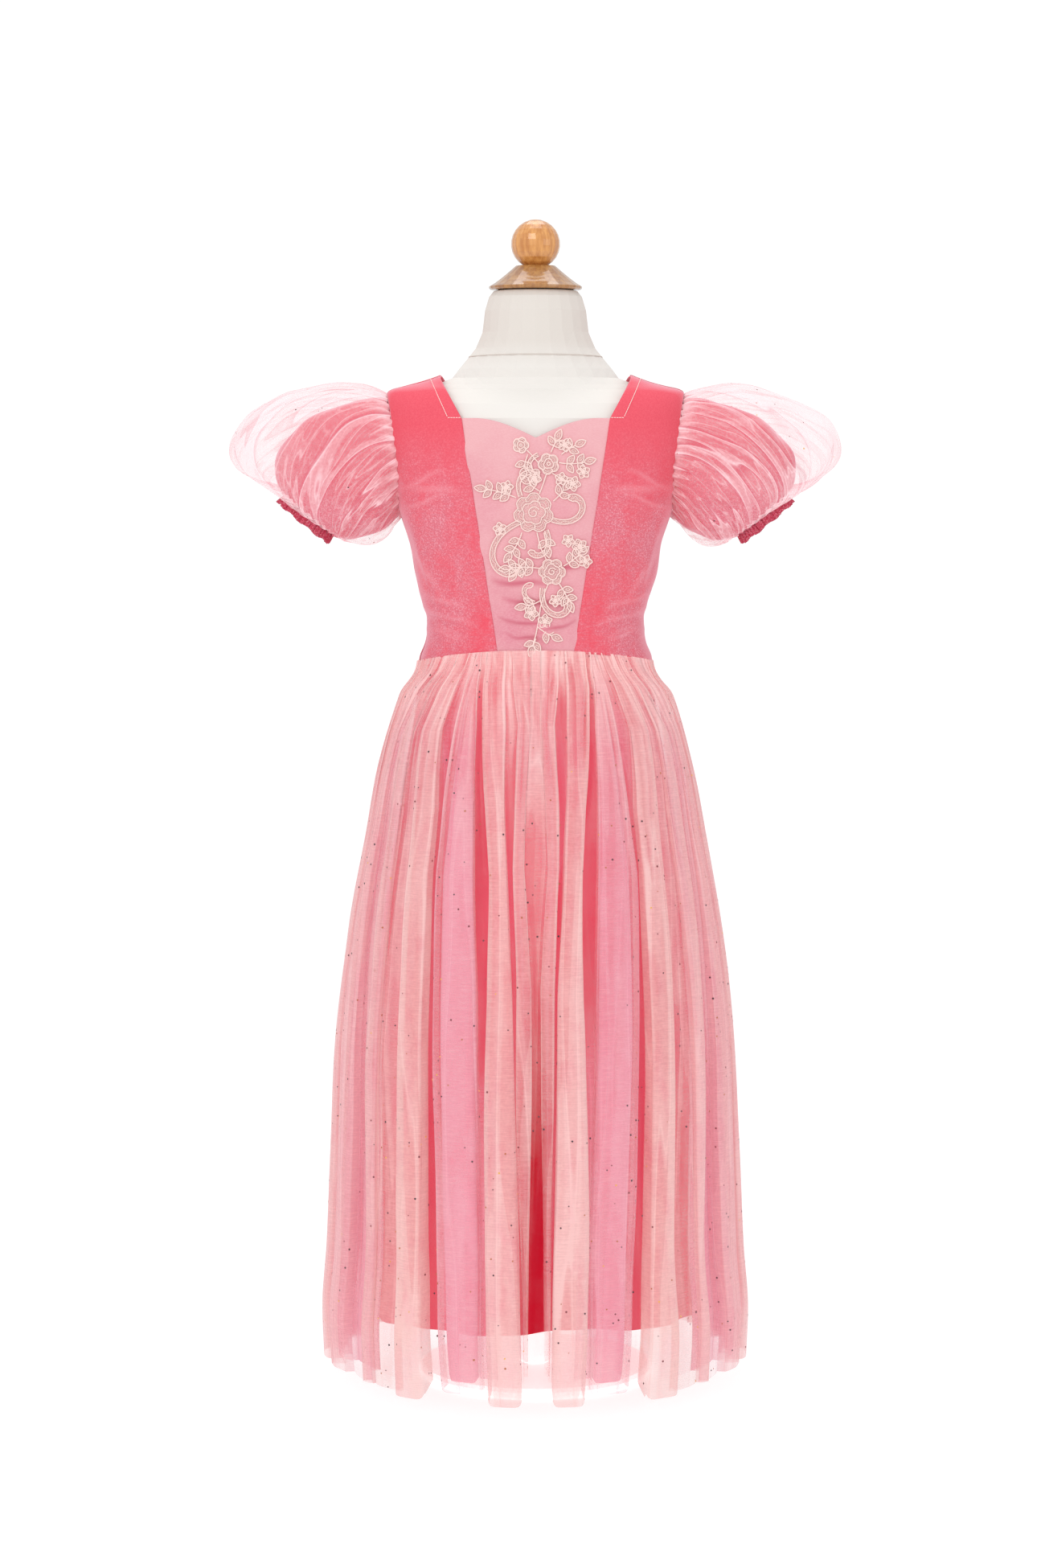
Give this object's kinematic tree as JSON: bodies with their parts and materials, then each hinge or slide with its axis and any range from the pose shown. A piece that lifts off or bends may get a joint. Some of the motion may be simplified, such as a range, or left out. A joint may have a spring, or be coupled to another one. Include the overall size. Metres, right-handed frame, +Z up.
{
  "type": "child's princess costume dress on a limbless dress form",
  "caption": "Child's long princess dress: velvet bodice, pale front panel with corded lace, puff sleeves and a gathered tulle skirt, worn by a limbless dress form on a pole stand.",
  "frame": {"origin": "on the floor under the form's pole, at the middle of the stand base's underside", "axes": "+Z up through the pole and neck; -Y is the dress's front; +X is the viewer's right"},
  "size_m": [0.547, 0.3516, 1.0319],
  "materials": {
    "coral_velvet": "short pile with a pale sheen at the edges",
    "pink_sateen": "soft satin-backed crepe",
    "salmon_tulle": "sheer net with sparse glitter",
    "pink_tulle": "sheer net",
    "coral_lining": "plain matt lining",
    "ivory_lace": "corded embroidered net",
    "form_cover": "smooth stretch cover",
    "turned_wood": "clear gloss lacquer",
    "white_steel": "satin white paint"
  },
  "bodies": {
    "root": {"form_body": "form_cover", "neck_cap": "turned_wood", "finial_ball": "turned_wood", "stand_pole": "white_steel", "stand_base": "white_steel", "bodice_centre": "pink_sateen", "bodice_side_right": "coral_velvet", "bodice_side_left": "coral_velvet", "bodice_back": "coral_velvet", "lace_applique": "ivory_lace", "sleeve_velvet_right": "coral_velvet", "sleeve_velvet_left": "coral_velvet", "sleeve_tulle_right": "salmon_tulle", "sleeve_tulle_left": "salmon_tulle", "skirt_tulle": "salmon_tulle", "skirt_pink": "pink_tulle", "underskirt": "coral_lining"}
  },
  "joints": []
}
